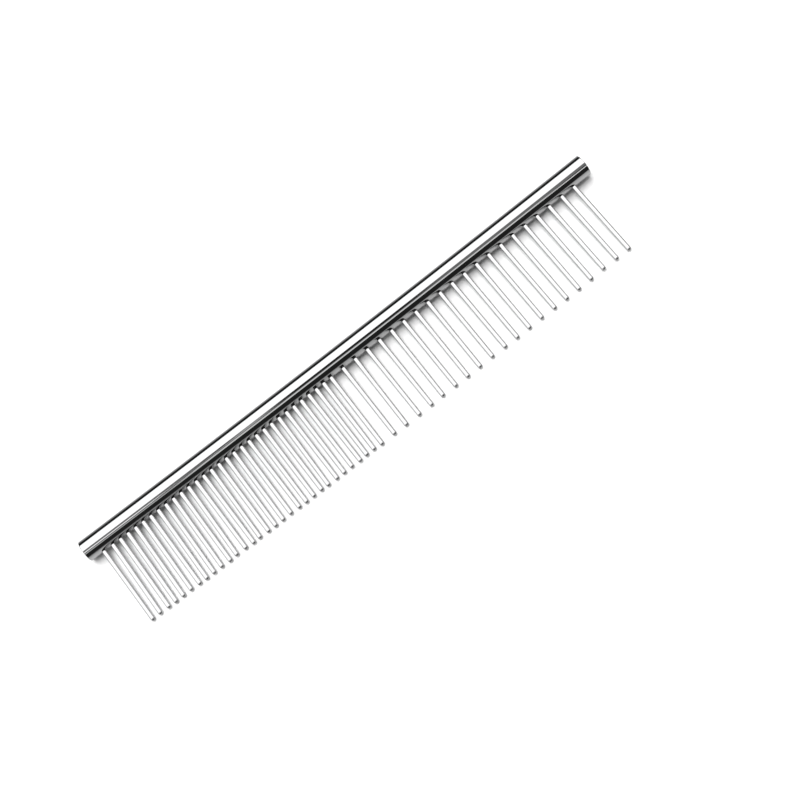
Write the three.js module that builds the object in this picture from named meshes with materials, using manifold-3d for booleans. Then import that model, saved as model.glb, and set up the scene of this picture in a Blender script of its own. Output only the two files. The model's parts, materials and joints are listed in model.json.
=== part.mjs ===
// A steel grooming comb: a round bar spine with one row of straight round pins pressed into it.
// Half of the row is closely spaced (fine) and the other half is widely spaced (coarse).
//
// Frame, in millimetres: the origin is the centre of the flat end beside the fine pins, X runs from
// there to the centre of the other end, the pins point along -Y, and Z is the thickness.
import * as THREE from "three";
import { mergeVertices } from "three/addons/utils/BufferGeometryUtils.js";
import Module from "manifold-3d";

// Driving dimensions.
const SPINE_LENGTH = 190.5; // between the centres of the two flat ends
const SPINE_RADIUS = 3.5;
const SPINE_EDGE_RADIUS = 0.3; // the rounding between the bar and its flat ends
const SPINE_BOW = 0.65; // the pressed-in pins bend the bar, so its middle sags this far towards them
const PIN_RADIUS = 0.75;
const PIN_LENGTH_OUT = 25.85; // from the bar's surface to the tip
const PIN_DEPTH_IN = 4.0; // from the bar's surface to the pin's inner end
const BORE_CLEARANCE = 0.03; // radial, around the pressed length
const BORE_END_GAP = 0.3; // below the pin's inner end
const FIRST_PIN_MARGIN = 4.76; // from the fine end of the spine to the first pin
const FIRST_GAP = 3.3; // from the first pin to the second
const FINE_PINS = 31;
const FINE_PITCH = 2.838;
const COARSE_PINS = 20;
const FIRST_COARSE_PITCH = 4.6; // the coarse gaps grow evenly from this one...
const LAST_COARSE_PITCH = 4.73; // ...to this one, at the coarse end
const FINE_LEAN = THREE.MathUtils.degToRad(0.65); // the most a fine pin leans along the row, either way
const COARSE_LEAN = THREE.MathUtils.degToRad(0.4);
const COARSE_FAN = THREE.MathUtils.degToRad(1.2); // the coarse pins' spread, grown to this by the last one
const DEPTH_SCATTER = 0.15; // how far a pin may be pressed in or left out beyond the nominal depth
const FIRST_LEAN = 25368; // the whole numbers that the first pin's scattered lean and depth are made from
const FIRST_DEPTH = 70250;

// How finely the round shapes are divided.
const SPINE_SIDES = 32;
const SPINE_STATIONS = 16;
const SPINE_EDGE_STEPS = 3;
const PIN_SIDES = 12;
const PIN_TIP_STEPS = 4;

const chromePlate = new THREE.MeshStandardMaterial({ color: 0xd9dbdc, roughness: 0.06, metalness: 1 });
const polishedSteel = new THREE.MeshStandardMaterial({ color: 0xc9cbcc, roughness: 0.12, metalness: 1 });

// The spine's axis is an arc between the centres of its ends.
const arcRadius = ((SPINE_LENGTH / 2) ** 2 + SPINE_BOW ** 2) / (2 * SPINE_BOW);
const endAngle = Math.asin(SPINE_LENGTH / 2 / arcRadius);
const halfArc = arcRadius * endAngle;

// The frame of the arc at a distance along it from its middle, where Y points away from the pins.
function arcFrame(distance) {
  const angle = distance / arcRadius;
  const along = SPINE_LENGTH / 2 + arcRadius * Math.sin(angle);
  const sag = arcRadius * (1 - Math.cos(angle)) - SPINE_BOW;
  const turned = new THREE.Matrix4().makeRotationZ(angle);
  return new THREE.Matrix4().makeTranslation(along, sag, 0).multiply(turned);
}

// Points of a circle from one angle to another, both ends included.
function arcPoints(centreX, centreY, radius, fromAngle, toAngle, steps) {
  const points = [];
  for (let i = 0; i <= steps; i++) {
    const angle = fromAngle + ((toAngle - fromAngle) * i) / steps;
    points.push(new THREE.Vector2(centreX + radius * Math.cos(angle), centreY + radius * Math.sin(angle)));
  }
  return points;
}

// A repeatable number from -1 to 1 for each whole number. The squares of whole numbers, in steps of the
// golden ratio, leave no pattern that shows along the row.
function scatter(whole) {
  const goldenRatio = (1 + Math.sqrt(5)) / 2;
  return 2 * ((goldenRatio * whole ** 2) % 1) - 1;
}

// A turned bar with rounded edges, bent from a straight lathe form onto the arc.
function bentBar() {
  const edgeCentre = SPINE_RADIUS - SPINE_EDGE_RADIUS;
  const straightEnd = halfArc - SPINE_EDGE_RADIUS;
  const quarter = Math.PI / 2;
  const profile = [new THREE.Vector2(0, -halfArc)];
  profile.push(...arcPoints(edgeCentre, -straightEnd, SPINE_EDGE_RADIUS, -quarter, 0, SPINE_EDGE_STEPS));
  for (let i = 1; i < SPINE_STATIONS; i++) {
    profile.push(new THREE.Vector2(SPINE_RADIUS, straightEnd * ((2 * i) / SPINE_STATIONS - 1)));
  }
  profile.push(...arcPoints(edgeCentre, straightEnd, SPINE_EDGE_RADIUS, 0, quarter, SPINE_EDGE_STEPS));
  profile.push(new THREE.Vector2(0, halfArc));
  const bar = new THREE.LatheGeometry(profile, SPINE_SIDES);
  bar.rotateZ(-quarter);

  const position = bar.getAttribute("position");
  const point = new THREE.Vector3();
  for (let i = 0; i < position.count; i++) {
    point.fromBufferAttribute(position, i);
    const distance = point.x;
    point.setX(0).applyMatrix4(arcFrame(distance));
    position.setXYZ(i, point.x, point.y, point.z);
  }
  return bar;
}

// A pin in its own frame, whose origin is on the spine's axis: flat inner end, rounded tip along -Y.
function pinShape() {
  const tip = -(SPINE_RADIUS + PIN_LENGTH_OUT);
  const innerEnd = -(SPINE_RADIUS - PIN_DEPTH_IN);
  const profile = arcPoints(0, tip + PIN_RADIUS, PIN_RADIUS, -Math.PI / 2, 0, PIN_TIP_STEPS);
  profile[0].setX(0);
  profile.push(new THREE.Vector2(PIN_RADIUS, innerEnd));
  profile.push(new THREE.Vector2(0, innerEnd));
  return new THREE.LatheGeometry(profile, PIN_SIDES);
}

// The drilled hole of a pin, in the same frame, run out past the bar's surface. Its flats, not its
// corners, keep the clearance to the pin.
function boreShape() {
  const radius = (PIN_RADIUS + BORE_CLEARANCE) / Math.cos(Math.PI / PIN_SIDES);
  const mouth = -(SPINE_RADIUS + PIN_RADIUS);
  const bottom = -(SPINE_RADIUS - PIN_DEPTH_IN - BORE_END_GAP);
  const profile = [
    new THREE.Vector2(0, mouth),
    new THREE.Vector2(radius, mouth),
    new THREE.Vector2(radius, bottom),
    new THREE.Vector2(0, bottom),
  ];
  return new THREE.LatheGeometry(profile, PIN_SIDES);
}

// Where each pin stands along the spine, and how far it leans and is pressed in.
function pinRow() {
  const row = [];
  let distance = FIRST_PIN_MARGIN - halfArc;
  for (let i = 0; i < FINE_PINS; i++) {
    row.push({
      name: "fine_pin_" + String(i + 1).padStart(2, "0"),
      distance,
      lean: FINE_LEAN * scatter(i + FIRST_LEAN),
      depth: DEPTH_SCATTER * scatter(i + FIRST_DEPTH),
    });
    distance += i === 0 ? FIRST_GAP : FINE_PITCH;
  }
  distance += FIRST_COARSE_PITCH - FINE_PITCH;
  for (let i = 0; i < COARSE_PINS; i++) {
    const index = FINE_PINS + i;
    row.push({
      name: "coarse_pin_" + String(i + 1).padStart(2, "0"),
      distance,
      lean: (COARSE_FAN * (i + 1)) / COARSE_PINS + COARSE_LEAN * scatter(index + FIRST_LEAN),
      depth: DEPTH_SCATTER * scatter(index + FIRST_DEPTH),
    });
    const share = (i + 1) / (COARSE_PINS - 1);
    distance += THREE.MathUtils.lerp(FIRST_COARSE_PITCH, LAST_COARSE_PITCH, share);
  }
  return row;
}

// A pin's axis on the bent spine, leaning about the point where it enters the bar.
function pinAxis(pin) {
  const entry = new THREE.Vector3(0, -SPINE_RADIUS, 0);
  return arcFrame(pin.distance)
    .multiply(new THREE.Matrix4().makeTranslation(entry))
    .multiply(new THREE.Matrix4().makeRotationZ(pin.lean))
    .multiply(new THREE.Matrix4().makeTranslation(entry.negate()));
}

const wasm = await Module();
wasm.setup();

function toSolid(geometry) {
  const bare = geometry.clone();
  bare.deleteAttribute("normal");
  bare.deleteAttribute("uv");
  const merged = mergeVertices(bare, 1e-4);
  return new wasm.Manifold(
    new wasm.Mesh({
      numProp: 3,
      vertProperties: new Float32Array(merged.getAttribute("position").array),
      triVerts: new Uint32Array(merged.index.array),
    }),
  );
}

function toGeometry(solid) {
  const mesh = solid.getMesh();
  const geometry = new THREE.BufferGeometry();
  geometry.setAttribute("position", new THREE.BufferAttribute(new Float32Array(mesh.vertProperties), 3));
  geometry.setIndex(new THREE.BufferAttribute(new Uint32Array(mesh.triVerts), 1));
  geometry.computeVertexNormals();
  return geometry;
}

// The bent bar with one blind hole for every pin.
function makeSpine(row) {
  let solid = toSolid(bentBar());
  const bore = boreShape();
  for (const pin of row) {
    solid = solid.subtract(toSolid(bore.clone().applyMatrix4(pinAxis(pin))));
  }
  const spine = new THREE.Mesh(toGeometry(solid), chromePlate);
  spine.name = "spine";
  return spine;
}

function makePin(pin, shape) {
  const mesh = new THREE.Mesh(shape, polishedSteel);
  mesh.name = pin.name;
  mesh.applyMatrix4(pinAxis(pin));
  mesh.translateY(pin.depth);
  return mesh;
}

const comb = new THREE.Group();
const row = pinRow();
comb.add(makeSpine(row));
const shape = pinShape();
for (const pin of row) {
  comb.add(makePin(pin, shape));
}

export default comb;
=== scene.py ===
"""The looks of a steel grooming comb: a chrome-plated round spine with 51 polished pins pressed into it.

Everything is in metres, in the frame of the CAD part: +X runs along the spine from the fine end to the
coarse end, the pins point along -Y, and Z is the thickness. The spine is bent into a very flat arc, and
each pin leans a little, both as the CAD part has them.
"""

import json
import math

import bmesh
import bpy
import numpy as np
from mathutils import Matrix, Vector

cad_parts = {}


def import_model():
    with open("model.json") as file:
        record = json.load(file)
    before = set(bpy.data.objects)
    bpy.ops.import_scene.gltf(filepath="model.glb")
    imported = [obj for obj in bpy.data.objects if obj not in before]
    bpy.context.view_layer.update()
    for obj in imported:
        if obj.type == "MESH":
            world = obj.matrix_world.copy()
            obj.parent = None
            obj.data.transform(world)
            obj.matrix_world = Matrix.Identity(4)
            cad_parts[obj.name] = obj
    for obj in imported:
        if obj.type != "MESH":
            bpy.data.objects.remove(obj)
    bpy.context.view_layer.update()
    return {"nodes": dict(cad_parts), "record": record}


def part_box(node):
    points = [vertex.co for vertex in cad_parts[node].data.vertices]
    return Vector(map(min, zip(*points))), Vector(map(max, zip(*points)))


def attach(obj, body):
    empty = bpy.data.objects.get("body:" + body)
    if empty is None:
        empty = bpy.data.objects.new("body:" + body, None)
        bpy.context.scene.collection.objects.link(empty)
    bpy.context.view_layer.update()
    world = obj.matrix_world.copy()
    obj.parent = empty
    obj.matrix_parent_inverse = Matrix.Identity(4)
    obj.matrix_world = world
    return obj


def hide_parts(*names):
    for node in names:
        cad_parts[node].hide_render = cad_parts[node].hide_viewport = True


MM = 0.001
UP = np.array([0.0, 0.0, 1.0])

# The spine's mesh.
END_EDGE_RADIUS = 0.3 * MM  # between the bar and its flat ends
HOLE_EDGE_RADIUS = 0.1 * MM  # round the mouth of each pin's hole
HOLE_CLEARANCE = 0.03 * MM  # radial, between hole and pin
HOLE_DEPTH = 4.3 * MM
STRIP_HALF_WIDTH = 1.25 * MM  # of the strip that holds the holes, along the surface
CELL_STEPS = 8  # mesh steps along each side of a hole's cell, an even number
CELL_RINGS = 4  # rings of faces from a cell's outline to the hole's mouth
BAR_STEPS = 56  # mesh steps round the bar, outside the strip
END_ZONE_STEPS = 8  # mesh steps along the bar beyond the first and last cell
EDGE_STEPS = 5  # steps in each small rounded edge
END_RINGS = 6  # rings of faces on each flat end

# The pins' mesh.
PIN_STEPS = 32  # round a pin
PIN_SHAFT_RINGS = 12
PIN_TIP_RINGS = 12
PIN_INNER_EDGE_RADIUS = 0.12 * MM
PIN_SPIN = 2.4  # radians that each pin is turned about its axis beyond the one before


# ---------------------------------------------------------------------------------------------------
# The frame: the spine's arc and each pin's place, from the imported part.


class Arc:
    """The spine's axis: a flat arc through the centres of both ends, in the plane Z = 0."""

    def __init__(self, record):
        mounts = {mount["name"]: mount for mount in record["mounts"]}
        start = Vector(mounts["fine_end"]["pos_m"])
        end = Vector(mounts["coarse_end"]["pos_m"])
        out = Vector(mounts["coarse_end"]["axis"])
        end_angle = math.atan2(out.y, out.x)
        self.half_chord = (end - start).length / 2
        self.radius = self.half_chord / math.sin(end_angle)
        self.half_length = self.radius * end_angle
        self.sag = self.radius * (1 - math.cos(end_angle))

    def frame(self, distance):
        """At each distance from the arc's middle: its point, its direction, and the direction away from
        the pins."""
        angle = np.asarray(distance, float) / self.radius
        zero = np.zeros_like(angle)
        sine, cosine = np.sin(angle), np.cos(angle)
        x = self.half_chord + self.radius * sine
        y = self.radius * (1 - cosine) - self.sag
        point = np.stack([x, y, zero], axis=-1)
        along = np.stack([cosine, sine, zero], axis=-1)
        back = np.stack([-sine, cosine, zero], axis=-1)
        return point, along, back

    def distance(self, point):
        """How far from the arc's middle a point lies, along the arc."""
        height = self.radius - self.sag - point[1]
        return self.radius * math.atan2(point[0] - self.half_chord, height)


class Pin:
    """One pin's place: its inner end's centre, its direction, length and radius, from its CAD node."""

    def __init__(self, name, node):
        points = np.unique([vertex.co[:] for vertex in node.data.vertices], axis=0)
        flat = 0.05 * MM  # the points of the flat inner end are all within this of its highest one
        tip = points[points[:, 1].argmin()]
        self.name = name
        self.inner = points[points[:, 1] > points[:, 1].max() - flat].mean(axis=0)
        self.length = float(np.linalg.norm(tip - self.inner))
        self.out = (tip - self.inner) / self.length
        self.side = np.cross(UP, self.out)
        self.radius = float(np.ptp(points[:, 2])) / 2

    def entry(self, arc, bar_radius):
        """Where the pin's axis comes out of the bar's surface."""
        centre, _, back = arc.frame(arc.distance(self.inner))
        depth = bar_radius + (self.inner - centre) @ back
        return self.inner - self.out * depth / (self.out @ back)

    def tip_centre(self):
        """The centre of the round tip."""
        return self.inner + self.out * (self.length - self.radius)

    def matrix(self, spin):
        """The place of a pin made at the origin along -Y, turned by a spin about its own axis."""
        place = Matrix(np.stack([self.side, -self.out, UP, self.inner], axis=1).tolist())
        return place.to_4x4() @ Matrix.Rotation(spin, 4, "Y")


# ---------------------------------------------------------------------------------------------------
# Meshes. Every point carries the exact normal of the surface it stands for, so that a mirror finish
# shows no facets.


class Skin:
    """A closed mesh under construction, with one exact normal for each point."""

    def __init__(self):
        self.points = []
        self.normals = []
        self.faces = []

    def add(self, points, normals):
        """Adds points, and returns their numbers."""
        points = np.reshape(points, (-1, 3))
        normals = np.broadcast_to(normals, points.shape)
        first = len(self.points)
        self.points.extend(points)
        self.normals.extend(normals / np.linalg.norm(normals, axis=1, keepdims=True))
        return list(range(first, len(self.points)))

    def band(self, one, other):
        """Joins two closed rings of the same number of points."""
        for i, first in enumerate(one):
            j = (i + 1) % len(one)
            self.faces.append((first, one[j], other[j], other[i]))

    def close(self, ring, point, normal):
        """Closes a ring with a fan of faces round one more point."""
        centre = self.add(point, normal)[0]
        for i, first in enumerate(ring):
            self.faces.append((first, ring[(i + 1) % len(ring)], centre))

    def mesh(self, name, material):
        """The finished mesh, with its faces turned outwards."""
        made = bpy.data.meshes.new(name)
        made.from_pydata([tuple(point) for point in self.points], [], self.faces)
        work = bmesh.new()
        work.from_mesh(made)
        bmesh.ops.recalc_face_normals(work, faces=work.faces)
        work.to_mesh(made)
        work.free()
        made.shade_smooth()
        made.normals_split_custom_set_from_vertices([tuple(normal) for normal in self.normals])
        made.materials.append(material)
        return made


class SpineSkin(Skin):
    """The bar, laid out as a grid of stations along it and turns round it. On the strip that faces the
    pins, the grid has one cell for each pin. Inside a cell, rings run from its outline to the hole's
    mouth and on down the hole."""

    def __init__(self, arc, radius, pins):
        super().__init__()
        self.arc = arc
        self.radius = radius
        half_turn = STRIP_HALF_WIDTH / radius
        strip = np.linspace(-half_turn, half_turn, CELL_STEPS + 1)
        rest = np.linspace(half_turn, 2 * math.pi - half_turn, BAR_STEPS + 1)[1:-1]
        self.turns = np.concatenate([strip, rest])
        entries = [pin.entry(arc, radius) for pin in pins]
        places = np.array([arc.distance(entry) for entry in entries])
        self.stations, starts = self.lay_out(places)
        self.rows = self.grid(starts)
        for pin, entry, place, start in zip(pins, entries, places, starts):
            self.hole(pin, entry, place, start)
        self.end(self.rows[0], -1)
        self.end(self.rows[-1], 1)

    def surface(self, distance, turn):
        """Points and normals of the bar's surface. A turn of zero faces the pins."""
        point, _, back = self.arc.frame(distance)
        turn = np.broadcast_to(turn, np.shape(distance))[..., None]
        normal = -np.cos(turn) * back + np.sin(turn) * UP
        return point + self.radius * normal, normal

    def lay_out(self, places):
        """The grid's stations, and the number of the station where each pin's cell starts."""
        middles = (places[1:] + places[:-1]) / 2
        first_edge = 2 * places[0] - middles[0]
        last_edge = 2 * places[-1] - middles[-1]
        edges = np.concatenate([[first_edge], middles, [last_edge]])
        straight = self.arc.half_length - END_EDGE_RADIUS
        stations = [np.linspace(-straight, first_edge, END_ZONE_STEPS + 1)[:-1]]
        half = CELL_STEPS // 2
        for place, low, high in zip(places, edges[:-1], edges[1:]):
            stations.append(np.linspace(low, place, half + 1)[:-1])
            stations.append(np.linspace(place, high, half + 1)[:-1])
        stations.append(np.linspace(last_edge, straight, END_ZONE_STEPS + 1))
        starts = [END_ZONE_STEPS + i * CELL_STEPS for i in range(len(places))]
        return np.concatenate(stations), starts

    def grid(self, starts):
        """Adds the grid, leaving each cell open, and returns its point numbers by station and turn."""
        around = len(self.turns)
        cell_stations = {start + i for start in starts for i in range(1, CELL_STEPS)}
        cell_columns = {start + i for start in starts for i in range(CELL_STEPS)}
        rows = []
        for number, distance in enumerate(self.stations):
            keep = np.ones(around, bool)
            if number in cell_stations:
                keep[1:CELL_STEPS] = False
            turns = self.turns[keep]
            row = np.full(around, -1)
            row[keep] = self.add(*self.surface(np.full(len(turns), distance), turns))
            rows.append(row.tolist())
        for number, (here, there) in enumerate(zip(rows[:-1], rows[1:])):
            first = CELL_STEPS if number in cell_columns else 0
            for j in range(first, around):
                k = (j + 1) % around
                self.faces.append((here[j], there[j], there[k], here[k]))
        return rows

    def outline(self, start):
        """The grid places round a cell, from the middle of its +X side and turning towards +Z."""
        last, half = CELL_STEPS, CELL_STEPS // 2
        walk = [(last, j) for j in range(half, last)]
        walk += [(i, last) for i in range(last, 0, -1)]
        walk += [(0, j) for j in range(last, 0, -1)]
        walk += [(i, 0) for i in range(last)]
        walk += [(last, j) for j in range(half)]
        return [(start + i, j) for i, j in walk]

    def hole(self, pin, entry, place, start):
        """The rings from a cell's outline to the hole's mouth, its rounded edge, its wall and floor."""
        walk = self.outline(start)
        angles = np.linspace(0, 2 * math.pi, len(walk), endpoint=False)
        outward = np.cos(angles)[:, None] * pin.side + np.sin(angles)[:, None] * UP
        wall_radius = pin.radius + HOLE_CLEARANCE
        mouth_radius = wall_radius + HOLE_EDGE_RADIUS

        def circle(radius):
            """Distances and turns of the bar's points at a radius from the pin's axis."""
            return place + radius * np.cos(angles), np.arcsin(radius * np.sin(angles) / self.radius)

        ring = [self.rows[i][j] for i, j in walk]
        from_distance = np.array([self.stations[i] for i, _ in walk])
        from_turn = np.array([self.turns[j] for _, j in walk])
        to_distance, to_turn = circle(mouth_radius)
        for share in np.linspace(0, 1, CELL_RINGS + 1)[1:]:
            distance = from_distance + share * (to_distance - from_distance)
            turn = from_turn + share * (to_turn - from_turn)
            inner = self.add(*self.surface(distance, turn))
            self.band(ring, inner)
            ring = inner
        for bend in np.linspace(0, math.pi / 2, EDGE_STEPS + 1)[1:]:
            points, normals = self.surface(*circle(mouth_radius - HOLE_EDGE_RADIUS * math.sin(bend)))
            points = points - pin.out * HOLE_EDGE_RADIUS * (1 - math.cos(bend))
            inner = self.add(points, math.cos(bend) * normals - math.sin(bend) * outward)
            self.band(ring, inner)
            ring = inner
        floor = entry - pin.out * HOLE_DEPTH
        inner = self.add(floor + wall_radius * outward, -outward)
        self.band(ring, inner)
        self.close(inner, floor, pin.out)

    def end(self, ring, sign):
        """The rounded edge and the flat face beyond the first or the last station."""
        for bend in np.linspace(0, math.pi / 2, EDGE_STEPS + 1)[1:]:
            past = END_EDGE_RADIUS * (1 - math.sin(bend))
            centre, along, back = self.arc.frame(sign * (self.arc.half_length - past))
            radius = self.radius - END_EDGE_RADIUS * (1 - math.cos(bend))
            outward = -np.cos(self.turns)[:, None] * back + np.sin(self.turns)[:, None] * UP
            normals = math.cos(bend) * outward + math.sin(bend) * sign * along
            inner = self.add(centre + radius * outward, normals)
            self.band(ring, inner)
            ring = inner
        for share in range(END_RINGS - 1, 0, -1):
            inner = self.add(centre + radius * share / END_RINGS * outward, sign * along)
            self.band(ring, inner)
            ring = inner
        self.close(ring, centre, sign * along)


class PinSkin(Skin):
    """A straight round pin from its flat inner end, at the origin, to its round tip along -Y."""

    def __init__(self, length, radius):
        super().__init__()
        edge = PIN_INNER_EDGE_RADIUS
        shoulder = length - radius
        rings = []
        for bend in np.linspace(math.pi / 2, 0, EDGE_STEPS + 1):
            depth = edge * (1 - math.sin(bend))
            rings.append(self.ring(-depth, radius - edge * (1 - math.cos(bend)), bend))
        for depth in np.linspace(edge, shoulder, PIN_SHAFT_RINGS + 1)[1:]:
            rings.append(self.ring(-depth, radius, 0))
        for bend in np.linspace(0, math.pi / 2, PIN_TIP_RINGS + 1)[1:-1]:
            depth = shoulder + radius * math.sin(bend)
            rings.append(self.ring(-depth, radius * math.cos(bend), -bend))
        for one, other in zip(rings[:-1], rings[1:]):
            self.band(one, other)
        self.close(rings[0], (0, 0, 0), (0, 1, 0))
        self.close(rings[-1], (0, -length, 0), (0, -1, 0))

    def ring(self, height, radius, lift):
        """Adds a ring of points whose normals are lifted from straight outwards towards +Y."""
        angles = np.linspace(0, 2 * math.pi, PIN_STEPS, endpoint=False)
        outward = np.stack([np.cos(angles), 0 * angles, np.sin(angles)], axis=-1)
        along = np.array([0.0, 1.0, 0.0])
        normals = math.cos(lift) * outward + math.sin(lift) * along
        return self.add(radius * outward + height * along, normals)


def add_object(name, data, matrix=Matrix()):
    """A new object in the scene."""
    made = bpy.data.objects.new(name, data)
    made.matrix_world = matrix
    bpy.context.scene.collection.objects.link(made)
    return made


# ---------------------------------------------------------------------------------------------------
# Materials.

CHROME_COLOUR = (0.75, 0.752, 0.755)
STEEL_COLOUR = (0.75, 0.75, 0.755)

# Marks in the chrome. A stretch is how fast a pattern changes along the bar, and round it.
POLISH_STRETCH = (6.0, 0.5)
POLISH_SCALE = 800.0
POLISH_HEIGHT = 0.6
HAIRLINE_STRETCH = (40.0, 14.0)
HAIRLINE_SLICE = 3.0  # through the noise that the hairlines come from
HAIRLINE_WIDTH = 0.008
HAIRLINE_DEPTH = -0.5
HAIRLINE_ROUGHNESS = 0.1
WORN_SCALE = 60.0
WORN_RANGE = (0.5, 0.62)  # of the noise, from where the plate has no hairlines to where it has them all
RING_SCALE = 9000.0
RING_SLICE = 7.0
END_FACING = (0.9, 0.97)  # how squarely a surface faces along the bar, for the rings to begin and be full
END_ROUGHNESS = 0.1
CHROME_HAZE_SCALE = 90.0
CHROME_HAZE = 0.02
CHROME_ROUGHNESS = 0.022
CHROME_MARK_HEIGHT = 0.0014 * MM

# Marks on the pins, with a stretch along a pin and round it.
DRAWN_STRETCH = (60.0, 5.0)
DRAWN_SCALE = 2.0
DRAWN_ROUGHNESS = 0.03
DRAWN_HEIGHT = 0.002 * MM
PIN_PATTERN_SPREAD = 50.0  # how far apart the pins' patterns are taken from the noise
PIN_CLOUD_SCALE = 400.0
PIN_CLOUD = 0.03
PIN_ROUGHNESS = 0.05
PIN_ROUGHNESS_SPREAD = 0.01  # from one pin to another


class Graph:
    """A node tree, with short ways to add nodes and link them."""

    def __init__(self, tree):
        self.tree = tree
        tree.nodes.clear()

    def add(self, kind, inputs, output=0, **settings):
        """Adds a node with its inputs set or linked, and returns one of its outputs."""
        node = self.tree.nodes.new(kind)
        for name, value in settings.items():
            setattr(node, name, value)
        for name, value in inputs.items():
            self.plug(node.inputs[name], value)
        return node.outputs[output] if node.outputs else node

    def plug(self, socket, value):
        if isinstance(value, bpy.types.NodeSocket):
            self.tree.links.new(value, socket)
        else:
            socket.default_value = value

    def math(self, operation, *values):
        return self.add("ShaderNodeMath", dict(enumerate(values)), operation=operation)

    def times(self, *values):
        product = values[0]
        for value in values[1:]:
            product = self.math("MULTIPLY", product, value)
        return product

    def plus(self, *values):
        total = values[0]
        for value in values[1:]:
            total = self.math("ADD", total, value)
        return total

    def dot(self, vector, other):
        inputs = {0: vector, 1: tuple(other)}
        return self.add("ShaderNodeVectorMath", inputs, "Value", operation="DOT_PRODUCT")

    def parts(self, vector):
        """A vector's three parts."""
        return [self.dot(vector, axis) for axis in ((1, 0, 0), (0, 1, 0), (0, 0, 1))]

    def vector(self, x, y, z):
        return self.add("ShaderNodeCombineXYZ", {0: x, 1: y, 2: z})

    def stretch(self, along, turn, rates, depth=0.0):
        """Where to read a noise whose pattern is stretched along a round bar."""
        return self.vector(self.times(along, rates[0]), self.times(turn, rates[1]), depth)

    def span(self, value, low, high, to_low=0.0, to_high=1.0, shape="SMOOTHSTEP"):
        """The value carried from one range to another, and held at the ends."""
        inputs = {"Value": value, "From Min": low, "From Max": high}
        inputs.update({"To Min": to_low, "To Max": to_high})
        return self.add("ShaderNodeMapRange", inputs, interpolation_type=shape)

    def mix(self, share, one, other):
        """A number between two numbers."""
        return self.add("ShaderNodeMix", {0: share, 2: one, 3: other})

    def seen_twice(self):
        """Whether a ray has left a second mirror."""
        return self.span(self.add("ShaderNodeLightPath", {}, "Glossy Depth"), 1.0, 2.0)

    def noise(self, vector, scale, detail=2.0):
        inputs = {"Vector": vector, "Scale": scale, "Detail": detail}
        return self.add("ShaderNodeTexNoise", inputs)

    def grey_ramp(self, value, stops):
        """Greys by position, straight between the stops."""
        output = self.add("ShaderNodeValToRGB", {"Fac": value}, "Color")
        elements = output.node.color_ramp.elements
        elements.remove(elements[1])
        for number, (position, grey) in enumerate(stops):
            element = elements[0] if number == 0 else elements.new(position)
            element.position = position
            element.color = (grey, grey, grey, 1)
        return output


def metal(graph, colour, roughness, normal):
    """Ends a material's graph in bare metal."""
    inputs = {"Base Color": (*colour, 1), "Metallic": 1.0, "Roughness": roughness, "Normal": normal}
    surface = graph.add("ShaderNodeBsdfPrincipled", inputs)
    graph.add("ShaderNodeOutputMaterial", {"Surface": surface})


def new_material(name):
    material = bpy.data.materials.new(name)
    material.use_nodes = True
    return material, Graph(material.node_tree)


def chrome_plate():
    """Bright chrome over a polished bar. Close up, the mirror carries fine polishing lines along the bar, a
    few hairline scratches, faint haze, and turned rings on the flat ends."""
    material, graph = new_material("chrome_plate")
    place = graph.add("ShaderNodeTexCoord", {}, "Object")
    x, y, z = graph.parts(place)
    turn = graph.math("ARCTAN2", z, y)

    lines = graph.noise(graph.stretch(x, turn, POLISH_STRETCH), POLISH_SCALE, 3.0)
    hairs = graph.noise(graph.stretch(x, turn, HAIRLINE_STRETCH, HAIRLINE_SLICE), 1.0, 1.0)
    from_middle = graph.math("ABSOLUTE", graph.math("SUBTRACT", hairs, 0.5))
    hairline = graph.span(from_middle, 0.0, HAIRLINE_WIDTH, 1.0, 0.0)
    worn = graph.span(graph.noise(place, WORN_SCALE, 2.0), *WORN_RANGE)
    side_marks = graph.plus(graph.times(lines, POLISH_HEIGHT), graph.times(hairline, worn, HAIRLINE_DEPTH))

    from_axis = graph.math("SQRT", graph.plus(graph.times(y, y), graph.times(z, z)))
    rings = graph.noise(graph.vector(from_axis, 0.0, RING_SLICE), RING_SCALE, 2.0)
    normal = graph.add("ShaderNodeNewGeometry", {}, "Normal")
    facing = graph.math("ABSOLUTE", graph.dot(normal, (1, 0, 0)))
    on_end = graph.span(facing, *END_FACING)
    marks = graph.mix(on_end, side_marks, rings)

    haze = graph.times(graph.noise(place, CHROME_HAZE_SCALE, 3.0), CHROME_HAZE)
    scratched = graph.times(hairline, worn, HAIRLINE_ROUGHNESS)
    roughness = graph.plus(CHROME_ROUGHNESS, haze, scratched, graph.times(on_end, END_ROUGHNESS))
    bump = graph.add("ShaderNodeBump", {"Distance": CHROME_MARK_HEIGHT, "Height": marks, "Strength": 1.0})
    metal(graph, CHROME_COLOUR, roughness, bump)
    return material


def pin_steel():
    """Polished steel wire, with fine lines along it from drawing and faint cloudiness. Each pin has its own
    pattern and a slightly different roughness."""
    material, graph = new_material("polished_pin_steel")
    place = graph.add("ShaderNodeTexCoord", {}, "Object")
    x, y, z = graph.parts(place)
    turn = graph.math("ARCTAN2", z, x)
    own = graph.add("ShaderNodeObjectInfo", {}, "Random")
    slice_of_noise = graph.times(own, PIN_PATTERN_SPREAD)
    lines = graph.noise(graph.stretch(y, turn, DRAWN_STRETCH, slice_of_noise), DRAWN_SCALE, 3.0)
    cloud = graph.noise(graph.vector(x, y, graph.plus(z, own)), PIN_CLOUD_SCALE, 2.0)
    roughness = graph.plus(
        PIN_ROUGHNESS,
        graph.times(cloud, PIN_CLOUD),
        graph.times(lines, DRAWN_ROUGHNESS),
        graph.times(own, PIN_ROUGHNESS_SPREAD),
    )
    bump = graph.add("ShaderNodeBump", {"Distance": DRAWN_HEIGHT, "Height": lines, "Strength": 1.0})
    metal(graph, STEEL_COLOUR, roughness, bump)
    return material


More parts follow.
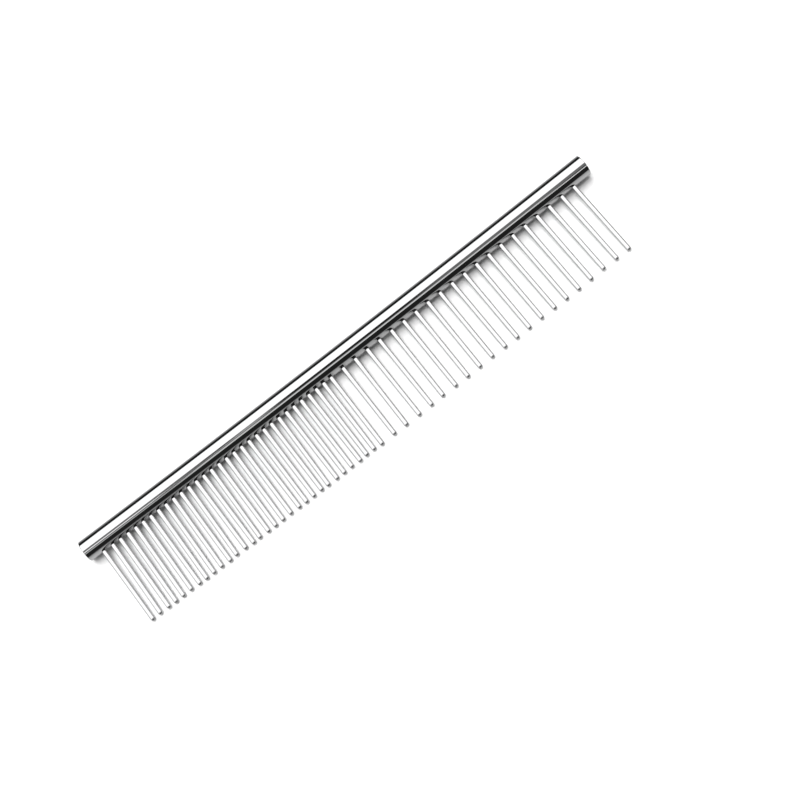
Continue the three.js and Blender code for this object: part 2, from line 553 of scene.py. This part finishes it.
# ---------------------------------------------------------------------------------------------------
# The studio: a white table on which the spine and the pins' tips rest, a lamp, and the screens and dark
# walls that show in the chrome.
#
# An angle is measured round the direction of the spine: 0 is the table's edge in front of the pins, 90
# is straight up and 180 is the table's edge behind the spine. A side is the part of a direction that
# runs along +X, from -1 to 1.

TABLE_HALF_WIDTH = 1.5  # metres
TABLE_WHITE = 0.8
# Painted shade: how bright mirrors see the table in front of the spine, darker the shallower they look.
FRONT_TABLE_PAINTED_SHADE = (  # by steepness
    (0.0, 0.08),
    (0.03, 0.18),
    (0.12, 0.29),
    (0.23, 0.33),
    (0.35, 0.37),
    (0.6, 0.43),
    (1.0, 0.56),
)
# Painted shade: how bright mirrors see the table behind the spine, darker the shallower they look.
BACK_TABLE_PAINTED_SHADE = ((0.0, 0.02), (0.14, 0.08), (0.31, 0.21), (0.52, 0.41), (0.78, 0.74), (1.0, 0.95))

# Painted shade: after two mirrors, the table's colour is painted dark at shallow steepness.
PAINTED_DARK_AFTER_TWO_MIRRORS = (0.15, 0.35)  # the steepness up to which the table is dark, and where it is full
FRONT_TO_BACK = (-0.1, 0.1)  # how far towards the back a mirror looks, where the back ramp takes over

LAMP_ANGLE = 106
LAMP_SIDE = -0.05
LAMP_DISTANCE = 4.0  # metres
LAMP_LENGTH = 26  # degrees, as seen from the comb
LAMP_WIDTH = 46
LAMP_LIGHT = 6.9

# What mirrors see of the room, painted over the dark walls in this order: from one angle to another,
# from one side to another, and how bright.
DARK = 0.016
PANELS = (
    (61, 96, -0.9, 0.9, 0.18),  # a grey wall
    (45, 54.5, -0.9, -0.11, 0.5),  # a grey card at the left
    (48.5, 59.5, -0.12, 0.2, 0.8),  # a white strip
    (61.5, 70, -0.9, -0.14, 1.1),  # its left end, tilted up
    (46.5, 51, 0.2, 0.9, 1.5),  # its right end, tilted down
    (67, 90, -0.085, -0.05, 0.5),  # a paler patch beside the lens
    (74.5, 87, -0.1, -0.07, DARK),  # a dark stand
    (66.5, 90, -0.045, 0.09, DARK),  # the camera's lens
    (86.5, 153.5, -0.9, 0.9, 1.4),  # the soft screen overhead
)
LOW_EDGE_LIGHT = 0.13  # of a low white edge along the front of the table
LOW_EDGE_TOP = (6.0, 0.5)  # its height in degrees, at the left and at the right
LOW_EDGE_SIDES = (-0.2, 0.2)  # the sides between which it changes
PANEL_BLUR = 2.0  # degrees
PANEL_SIDE_BLUR = 0.015
LEFT_WALL = 1.0
RIGHT_WALL = 0.2
WALL_START = (0.87, 0.93)  # the side where the left and right walls take over from the panels
WALL_CHANGE = (-0.1, 0.1)  # the sides between which one wall turns into the other


class Table:
    """The plane under the comb. It touches the spine and the round tips of the pins."""

    def __init__(self, arc, bar_radius, pins):
        tips = np.array([pin.tip_centre() for pin in pins])
        reach = -tips[:, 1].min() - arc.sag
        rise = (bar_radius - pins[0].radius) / reach
        self.normal = Vector((0, rise, math.sqrt(1 - rise * rise)))
        self.away = Vector((0, self.normal.z, -rise))
        self.height = -bar_radius - arc.sag * rise
        self.across = Vector((1, 0, 0))

    def direction(self, angle, side):
        """The direction at an angle and a side."""
        turned = self.normal * math.sin(math.radians(angle)) - self.away * math.cos(math.radians(angle))
        return turned * math.sqrt(1 - side * side) + self.across * side

    def mesh(self, centre, material):
        """A square of the plane round the point below a centre."""
        below = centre - self.normal * (centre.dot(self.normal) - self.height)
        right = self.across * TABLE_HALF_WIDTH
        away = self.away * TABLE_HALF_WIDTH
        corners = [below - right - away, below + right - away, below + right + away, below - right + away]
        made = bpy.data.meshes.new("table")
        made.from_pydata([tuple(corner) for corner in corners], [], [(0, 1, 2, 3)])
        made.materials.append(material)
        return made


def table_material(table):
    """White to the camera. For mirror rays its colour is painted darker, by how steeply they look and to
    which
    side: painted shade in the table's reflection. It can't be seen from below."""
    material, graph = new_material("white_table")
    mirrored = graph.add("ShaderNodeLightPath", {}, "Is Glossy Ray")
    incoming = graph.add("ShaderNodeNewGeometry", {}, "Incoming")
    steep = graph.math("ABSOLUTE", graph.dot(incoming, table.normal))
    # Painted shade for mirror rays: darker the shallower they look, in front and behind, and dark after two
    # mirrors.
    front = graph.grey_ramp(steep, FRONT_TABLE_PAINTED_SHADE)
    back = graph.grey_ramp(steep, BACK_TABLE_PAINTED_SHADE)
    towards_back = graph.dot(incoming, -table.away)
    share = graph.span(towards_back, *FRONT_TO_BACK)
    painted_dark_after_two = graph.mix(graph.seen_twice(), 1.0, graph.span(steep, *PAINTED_DARK_AFTER_TWO_MIRRORS))
    seen = graph.times(graph.mix(share, front, back), TABLE_WHITE, painted_dark_after_two)
    white = graph.mix(mirrored, TABLE_WHITE, seen)
    surface = graph.add("ShaderNodeBsdfDiffuse", {"Color": graph.vector(white, white, white)})
    below = graph.add("ShaderNodeNewGeometry", {}, "Backfacing")
    clear = graph.add("ShaderNodeBsdfTransparent", {})
    both = graph.add("ShaderNodeMixShader", {0: below, 1: surface, 2: clear})
    graph.add("ShaderNodeOutputMaterial", {"Surface": both})
    return material


def build_room(table):
    """The world: plain white for the camera, and the room for everything else."""
    world = bpy.data.worlds.new("room")
    world.use_nodes = True
    bpy.context.scene.world = world
    graph = Graph(world.node_tree)
    direction = graph.add("ShaderNodeTexCoord", {}, "Generated")
    up = graph.dot(direction, table.normal)
    front = graph.dot(direction, -table.away)
    side = graph.dot(direction, table.across)
    angle = graph.math("DEGREES", graph.math("ARCTAN2", up, front))
    edge_top = graph.span(side, *LOW_EDGE_SIDES, *LOW_EDGE_TOP)
    past_edge = graph.math("SUBTRACT", angle, edge_top)
    under_edge = graph.span(past_edge, -PANEL_BLUR / 2, PANEL_BLUR / 2, 1.0, 0.0)
    above_table = graph.math("GREATER_THAN", up, 0.0)
    once = graph.math("SUBTRACT", 1.0, graph.seen_twice())
    light = graph.mix(graph.times(under_edge, above_table, once), DARK, LOW_EDGE_LIGHT)
    for low, high, left, right, brightness in PANELS:
        inside = graph.times(
            graph.span(angle, low - PANEL_BLUR, low + PANEL_BLUR),
            graph.span(angle, high - PANEL_BLUR, high + PANEL_BLUR, 1.0, 0.0),
            graph.span(side, left - PANEL_SIDE_BLUR, left + PANEL_SIDE_BLUR),
            graph.span(side, right - PANEL_SIDE_BLUR, right + PANEL_SIDE_BLUR, 1.0, 0.0),
        )
        light = graph.mix(inside, light, brightness)
    beyond = graph.span(graph.math("ABSOLUTE", side), *WALL_START)
    walls = graph.span(side, *WALL_CHANGE, LEFT_WALL, RIGHT_WALL)
    light = graph.mix(beyond, light, walls)
    camera = graph.add("ShaderNodeLightPath", {}, "Is Camera Ray")
    strength = graph.mix(camera, light, 1.0)
    background = graph.add("ShaderNodeBackground", {"Color": (1, 1, 1, 1), "Strength": strength})
    graph.add("ShaderNodeOutputWorld", {"Surface": background})


def add_lamp(table, centre):
    """A long soft lamp over the table, which casts the shadows. It stays out of the mirrors."""
    data = bpy.data.lights.new("lamp", "AREA")
    data.shape = "RECTANGLE"
    data.size = 2 * LAMP_DISTANCE * math.tan(math.radians(LAMP_LENGTH / 2))
    data.size_y = 2 * LAMP_DISTANCE * math.tan(math.radians(LAMP_WIDTH / 2))
    data.energy = LAMP_LIGHT * 4 * data.size * data.size_y
    towards = table.direction(LAMP_ANGLE, LAMP_SIDE)
    across = (table.across - towards * towards.dot(table.across)).normalized()
    place = Matrix((across, towards.cross(across), towards)).transposed().to_4x4()
    place.translation = centre + towards * LAMP_DISTANCE
    lamp = add_object("lamp", data, place)
    lamp.visible_camera = False
    lamp.visible_glossy = False
    return lamp


# ---------------------------------------------------------------------------------------------------
# The camera.

AIM_ALONG = 0.538  # of the spine's length, from the fine end
AIM_DOWN = 22.43 * MM  # from the spine's ends towards the tips
CAMERA_DISTANCE = 449.7 * MM
CAMERA_ELEVATION = 80.19
CAMERA_AZIMUTH = -9.48
CAMERA_ROLL = -28.53
CAMERA_LENS = 67.58
SENSOR_WIDTH = 36  # millimetres, as the lens
NEAR_CLIP = 0.01  # metres
FAR_CLIP = 50


def add_camera(arc):
    azimuth = math.radians(CAMERA_AZIMUTH)
    elevation = math.radians(CAMERA_ELEVATION)
    roll = math.radians(CAMERA_ROLL)
    towards = Vector(
        (
            math.cos(elevation) * math.sin(azimuth),
            -math.cos(elevation) * math.cos(azimuth),
            math.sin(elevation),
        )
    )
    level = Vector((math.cos(azimuth), math.sin(azimuth), 0))
    upright = towards.cross(level)
    right = math.cos(roll) * level + math.sin(roll) * upright
    above = towards.cross(right)
    aim = Vector((2 * arc.half_chord * AIM_ALONG, -AIM_DOWN, 0))
    place = Matrix((right, above, towards)).transposed().to_4x4()
    place.translation = aim + towards * CAMERA_DISTANCE
    data = bpy.data.cameras.new("camera")
    data.lens = CAMERA_LENS
    data.sensor_width = SENSOR_WIDTH
    data.clip_start = NEAR_CLIP
    data.clip_end = FAR_CLIP
    camera = add_object("camera", data, place)
    bpy.context.scene.camera = camera
    return camera


# ---------------------------------------------------------------------------------------------------


def main():
    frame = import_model()
    arc = Arc(frame["record"])
    bar_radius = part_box("spine")[1].z
    names = sorted(name for name in frame["nodes"] if "_pin_" in name)
    pins = [Pin(name, frame["nodes"][name]) for name in names]
    pins.sort(key=lambda pin: pin.inner[0])
    spine_mesh = SpineSkin(arc, bar_radius, pins).mesh("chrome_spine", chrome_plate())
    spine = add_object("chrome_spine", spine_mesh)
    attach(spine, "root")
    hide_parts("spine")
    steel = pin_steel()
    for number, pin in enumerate(pins):
        name = "polished_" + pin.name
        mesh = PinSkin(pin.length, pin.radius).mesh(name, steel)
        made = add_object(name, mesh, pin.matrix(number * PIN_SPIN))
        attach(made, "root")
        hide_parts(pin.name)
    table = Table(arc, bar_radius, pins)
    centre = Vector((arc.half_chord, -AIM_DOWN, 0))
    add_object("table", table.mesh(centre, table_material(table)))
    build_room(table)
    add_lamp(table, centre)
    add_camera(arc)
    bpy.context.scene.view_settings.view_transform = "Standard"


main()
